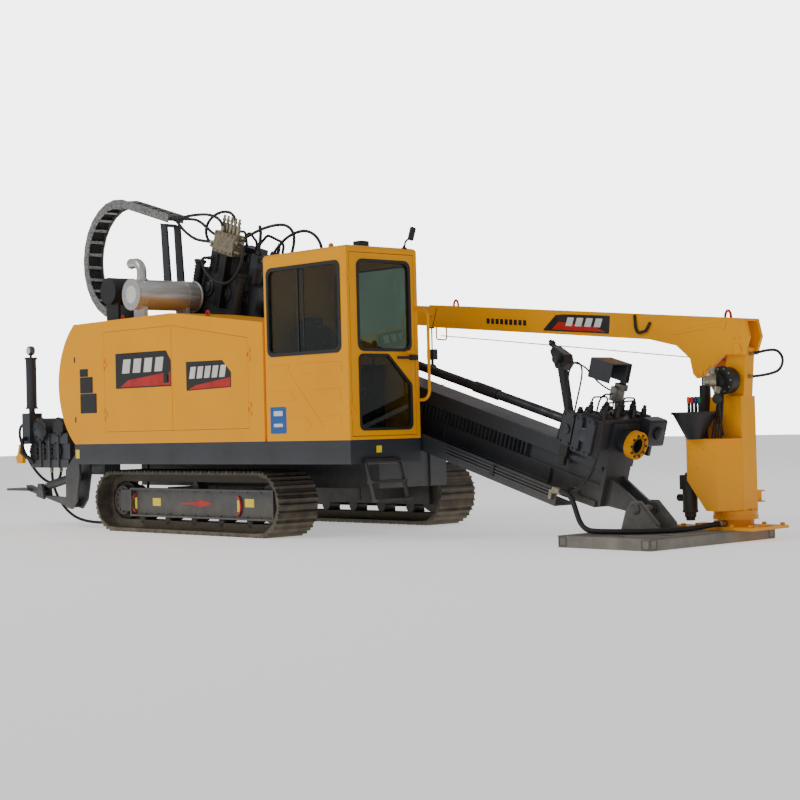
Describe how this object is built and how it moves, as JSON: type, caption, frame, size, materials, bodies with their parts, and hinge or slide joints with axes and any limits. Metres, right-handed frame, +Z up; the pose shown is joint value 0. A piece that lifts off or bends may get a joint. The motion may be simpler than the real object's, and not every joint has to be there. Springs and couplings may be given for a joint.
{
  "type": "horizontal directional drill",
  "caption": "Crawler-mounted horizontal directional drill with a tilted rack mast, a sliding rotary head, rod vises, a cab, an engine hood, a loading crane and an anchor plate.",
  "frame": {"origin": "on the ground, at the middle of the anchor plate's underside below the drilling centreline", "axes": "+X in the drilling direction, +Y to the side away from the cab, +Z up"},
  "size_m": [8.89, 2.5357, 3.5804],
  "materials": {
    "grey_paint": "satin",
    "black_paint": "satin",
    "yellow_paint": "gloss",
    "beige_metal": "satin",
    "track_steel": "matt",
    "bare_steel": "satin",
    "cylinder_rod": "gloss",
    "zinc_plate": "satin",
    "engine_block": "satin",
    "muffler_shell": "satin",
    "window_glass": "clear",
    "seat_fabric": "matt",
    "trim_plastic": "matt"
  },
  "bodies": {
    "chassis": {"chassis": "grey_paint", "track_near": "track_steel", "track_far": "track_steel", "track_frame_near": "grey_paint", "track_frame_far": "grey_paint", "engine": "engine_block", "hood": "yellow_paint", "cab_shell": "yellow_paint", "cab_glass": "window_glass", "operator_seat": "seat_fabric", "console": "trim_plastic", "muffler": "muffler_shell", "air_cleaner": "black_paint", "fluid_tanks": "grey_paint", "mud_pump": "grey_paint"},
    "hood_door_rear": {"hood_door_rear": "yellow_paint"},
    "hood_door_front": {"hood_door_front": "yellow_paint"},
    "cab_door": {"cab_door": "yellow_paint", "door_glass": "window_glass"},
    "step": {"step": "black_paint"},
    "mast": {"mast_beam": "grey_paint", "mast_racks": "bare_steel", "front_vise": "grey_paint", "guide_ring": "yellow_paint", "vise_canopy": "grey_paint", "joint_greaser": "black_paint", "energy_chain": "zinc_plate"},
    "carriage": {"carriage": "grey_paint", "rotary_head": "grey_paint", "thrust_drives": "black_paint", "valve_block": "beige_metal", "chain_posts": "grey_paint"},
    "spindle": {"spindle": "bare_steel", "drill_rod": "bare_steel"},
    "breakout": {"breakout_vise": "grey_paint"},
    "anchor": {"anchor_plate": "grey_paint", "crane_base": "grey_paint"},
    "column": {"crane_column": "yellow_paint", "valve_cabinet": "yellow_paint", "lever_guard": "black_paint", "winch": "bare_steel", "slew_motor": "black_paint"},
    "boom": {"boom": "yellow_paint"},
    "extension": {"boom_extension": "yellow_paint", "hook_block": "black_paint"},
    "luff_barrel": {"luff_barrel": "black_paint"},
    "luff_rod": {"luff_rod": "cylinder_rod"},
    "lift_barrels": {"lift_barrels": "black_paint"},
    "lift_rods": {"lift_rods": "cylinder_rod"},
    "stabilizer_leg_near": {"stabilizer_leg_near": "grey_paint"},
    "stabilizer_barrel_near": {"stabilizer_barrel_near": "black_paint"},
    "stabilizer_rod_near": {"stabilizer_rod_near": "cylinder_rod"},
    "stabilizer_leg_far": {"stabilizer_leg_far": "grey_paint"},
    "stabilizer_barrel_far": {"stabilizer_barrel_far": "black_paint"},
    "stabilizer_rod_far": {"stabilizer_rod_far": "cylinder_rod"}
  },
  "joints": [
    {"name": "hood_door_rear_hinge", "type": "hinge", "parent": "chassis", "child": "hood_door_rear", "pos_m": [-6.217, -1.268, 1.5], "axis": [0, 0, -1], "range_deg": [0, 95]},
    {"name": "hood_door_front_hinge", "type": "hinge", "parent": "chassis", "child": "hood_door_front", "pos_m": [-3.819, -1.268, 1.5], "axis": [0, 0, 1], "range_deg": [0, 95]},
    {"name": "cab_door_hinge", "type": "hinge", "parent": "chassis", "child": "cab_door", "pos_m": [-2.394, -1.231, 1.7], "axis": [0, 0, -1], "range_deg": [0, 100]},
    {"name": "step_fold", "type": "hinge", "parent": "chassis", "child": "step", "pos_m": [-2.374, -0.925, 0.702], "axis": [0, -1, 0], "range_deg": [0, 110]},
    {"name": "mast_tilt", "type": "hinge", "parent": "chassis", "child": "mast", "pos_m": [-3.05, 0, 0.911], "axis": [0, -1, 0], "range_deg": [0, 15]},
    {"name": "lift_barrel_hinge", "type": "hinge", "parent": "chassis", "child": "lift_barrels", "pos_m": [-3.75, 0, 0.52], "axis": [0, -1, 0], "range_deg": [0, 19.83]},
    {"name": "lift_rod_slide", "type": "slide", "parent": "lift_barrels", "child": "lift_rods", "axis": [-0.7435, 0, 0.6687], "range_m": [-0.1847, 0]},
    {"name": "carriage_travel", "type": "slide", "parent": "mast", "child": "carriage", "axis": [0.9588, 0, -0.284], "range_m": [0, 3.1]},
    {"name": "spindle_turn", "type": "hinge", "parent": "carriage", "child": "spindle", "pos_m": [-4.84583, 0, 2.15207], "axis": [0.9588, 0, -0.284], "continuous": true},
    {"name": "breakout_turn", "type": "hinge", "parent": "mast", "child": "breakout", "pos_m": [-0.70757, 0, 0.92626], "axis": [0.9588, 0, -0.284], "range_deg": [0, 28]},
    {"name": "plate_hinge", "type": "hinge", "parent": "mast", "child": "anchor", "pos_m": [-0.19, 0, 0.28], "axis": [0, -1, 0], "range_deg": [-15, 0]},
    {"name": "crane_slew", "type": "hinge", "parent": "anchor", "child": "column", "pos_m": [0.3, 0.56, 0.3], "axis": [0, 0, 1], "range_deg": [-170, 0]},
    {"name": "boom_luff", "type": "hinge", "parent": "column", "child": "boom", "pos_m": [0.43, 0.56, 1.56], "axis": [0, 1, 0], "range_deg": [0, 40]},
    {"name": "boom_extend", "type": "slide", "parent": "boom", "child": "extension", "axis": [-0.9954, 0, 0.0958], "range_m": [0, 1]},
    {"name": "luff_barrel_hinge", "type": "hinge", "parent": "column", "child": "luff_barrel", "pos_m": [0.02, 0.56, 0.64], "axis": [0, 1, 0], "range_deg": [-1.33, 0]},
    {"name": "luff_rod_slide", "type": "slide", "parent": "luff_barrel", "child": "luff_rod", "axis": [0.0068, 0, 1], "range_m": [0, 0.3033]},
    {"name": "stabilizer_near_swing", "type": "hinge", "parent": "chassis", "child": "stabilizer_leg_near", "pos_m": [-7.01, -1.15, 0.266], "axis": [0, -1, 0], "range_deg": [0, 18]},
    {"name": "stabilizer_near_barrel_hinge", "type": "hinge", "parent": "chassis", "child": "stabilizer_barrel_near", "pos_m": [-7, -1.15, 0.545], "axis": [0, -1, 0], "range_deg": [0, 15.52]},
    {"name": "stabilizer_near_rod_slide", "type": "slide", "parent": "stabilizer_barrel_near", "child": "stabilizer_rod_near", "axis": [-0.9832, 0, -0.1824], "range_m": [0, 0.083]},
    {"name": "stabilizer_far_swing", "type": "hinge", "parent": "chassis", "child": "stabilizer_leg_far", "pos_m": [-7.01, 1.15, 0.266], "axis": [0, -1, 0], "range_deg": [0, 18]},
    {"name": "stabilizer_far_barrel_hinge", "type": "hinge", "parent": "chassis", "child": "stabilizer_barrel_far", "pos_m": [-7, 1.15, 0.545], "axis": [0, -1, 0], "range_deg": [0, 15.52]},
    {"name": "stabilizer_far_rod_slide", "type": "slide", "parent": "stabilizer_barrel_far", "child": "stabilizer_rod_far", "axis": [-0.9832, 0, -0.1824], "range_m": [0, 0.083]}
  ],
  "couplings": [
    {"joint": "lift_barrel_hinge", "follows": "mast_tilt", "ratio": 1.3154},
    {"joint": "lift_rod_slide", "follows": "mast_tilt", "m_per_rad": -0.70181},
    {"joint": "plate_hinge", "follows": "mast_tilt", "ratio": -1},
    {"joint": "luff_barrel_hinge", "follows": "boom_luff", "ratio": -0.03074},
    {"joint": "luff_rod_slide", "follows": "boom_luff", "m_per_rad": 0.43302},
    {"joint": "stabilizer_near_barrel_hinge", "follows": "stabilizer_near_swing", "ratio": 0.85656},
    {"joint": "stabilizer_near_rod_slide", "follows": "stabilizer_near_swing", "m_per_rad": 0.26088},
    {"joint": "stabilizer_far_barrel_hinge", "follows": "stabilizer_far_swing", "ratio": 0.85656},
    {"joint": "stabilizer_far_rod_slide", "follows": "stabilizer_far_swing", "m_per_rad": 0.26088}
  ]
}
